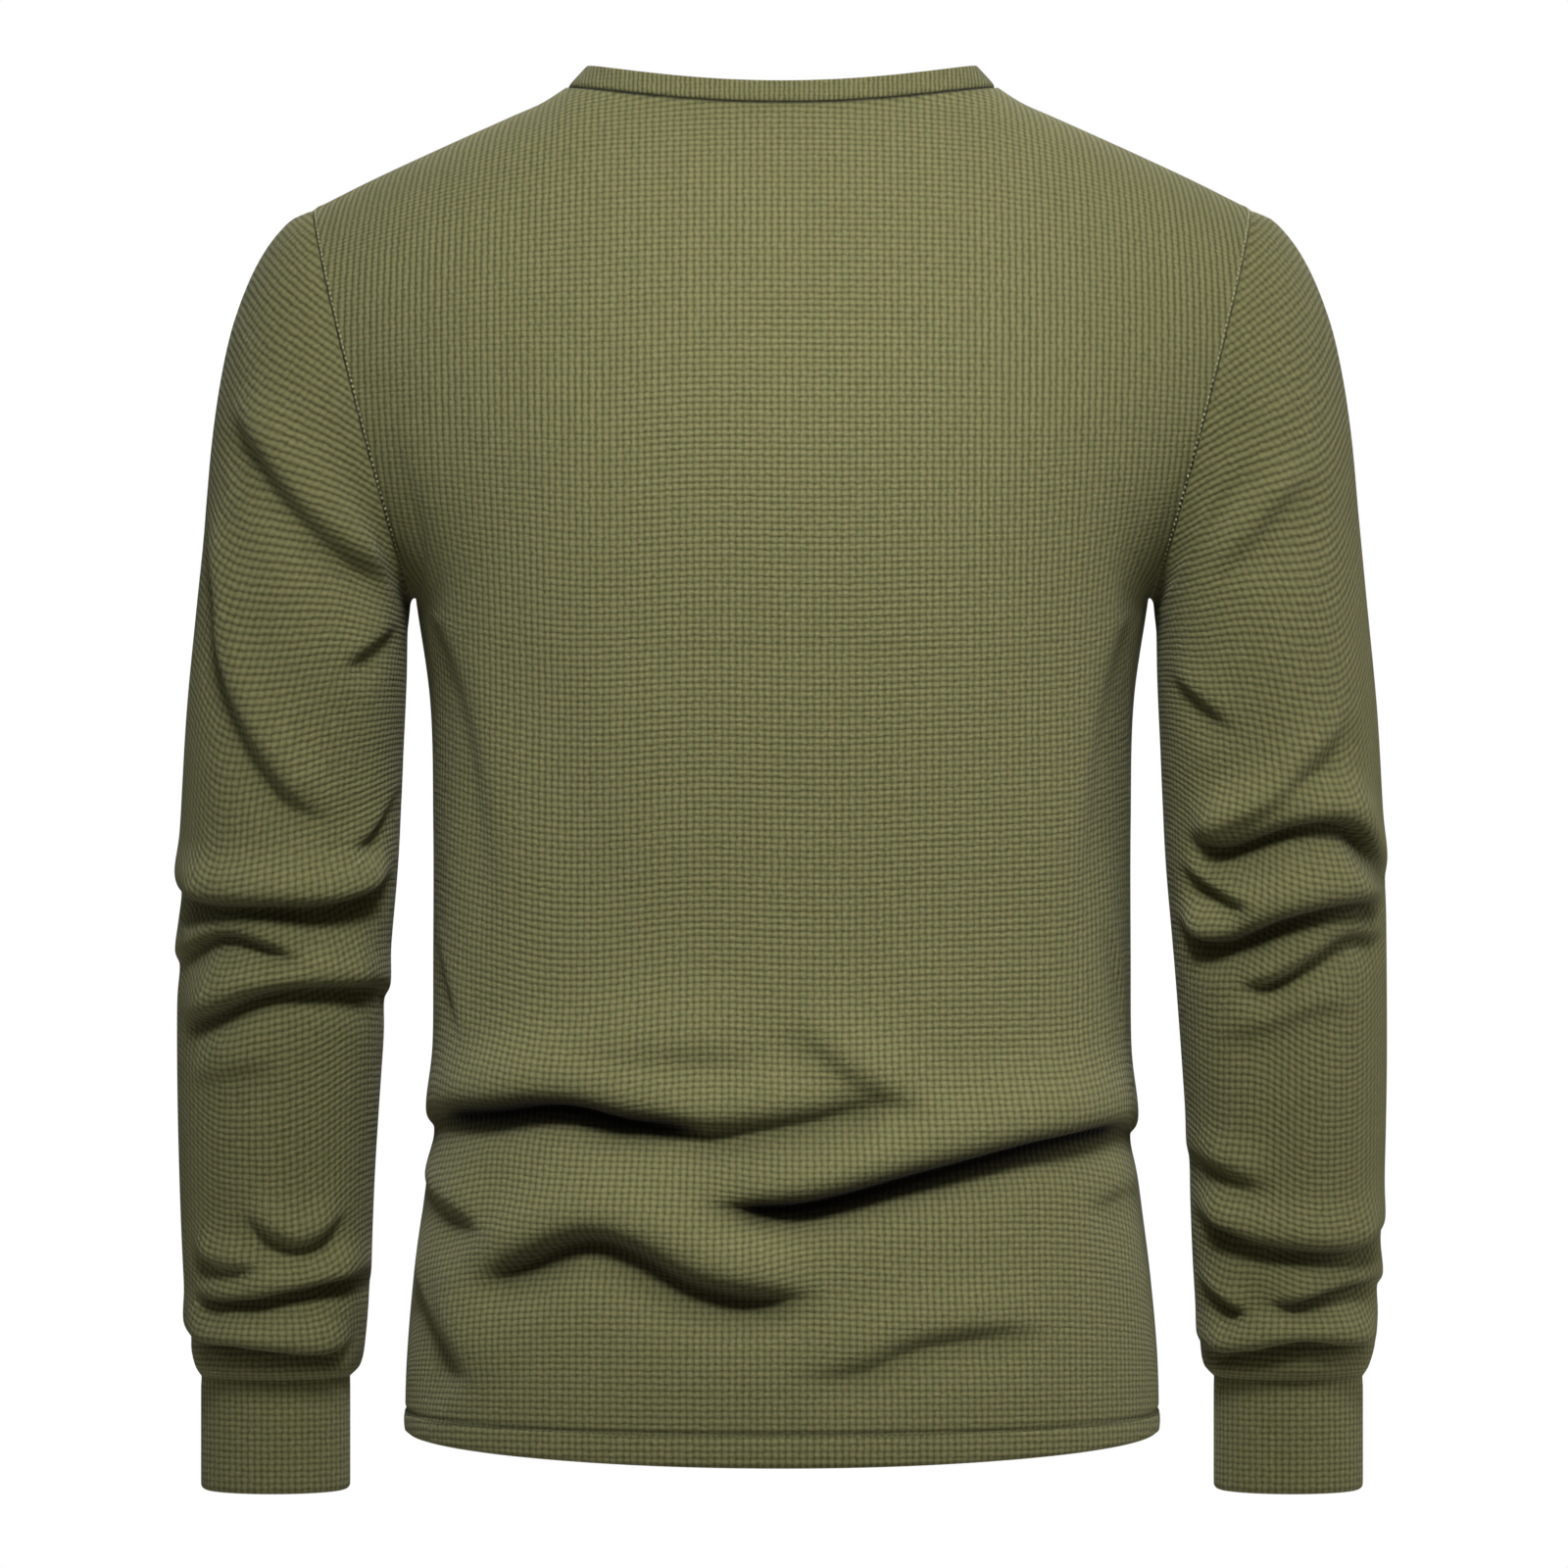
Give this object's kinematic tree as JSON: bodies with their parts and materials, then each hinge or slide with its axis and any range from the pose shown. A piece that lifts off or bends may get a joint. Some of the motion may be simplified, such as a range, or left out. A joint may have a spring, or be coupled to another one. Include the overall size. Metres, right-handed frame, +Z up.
{
  "type": "henley shirt",
  "caption": "Long-sleeved knit shirt with a round neckband, a short buttoned placket and close cuffs, hollow as if worn, arms hanging down.",
  "frame": {"origin": "between the two points where the shoulder seams meet the neckband, at the level where the wearer's shoulders carry the shirt", "axes": "+Z up, the front faces -Y, +X is the wearer's left"},
  "size_m": [0.5962, 0.2444, 0.6987],
  "materials": {
    "knit": "matte waffle knit",
    "band": "matte double knit",
    "button": "satin"
  },
  "bodies": {
    "root": {"back": "knit", "front": "knit", "sleeve_left": "knit", "sleeve_right": "knit", "cuff_left": "band", "cuff_right": "band", "neckband": "band", "placket_over": "band", "placket_under": "band", "button_1": "button", "button_2": "button", "button_3": "button"}
  },
  "joints": []
}
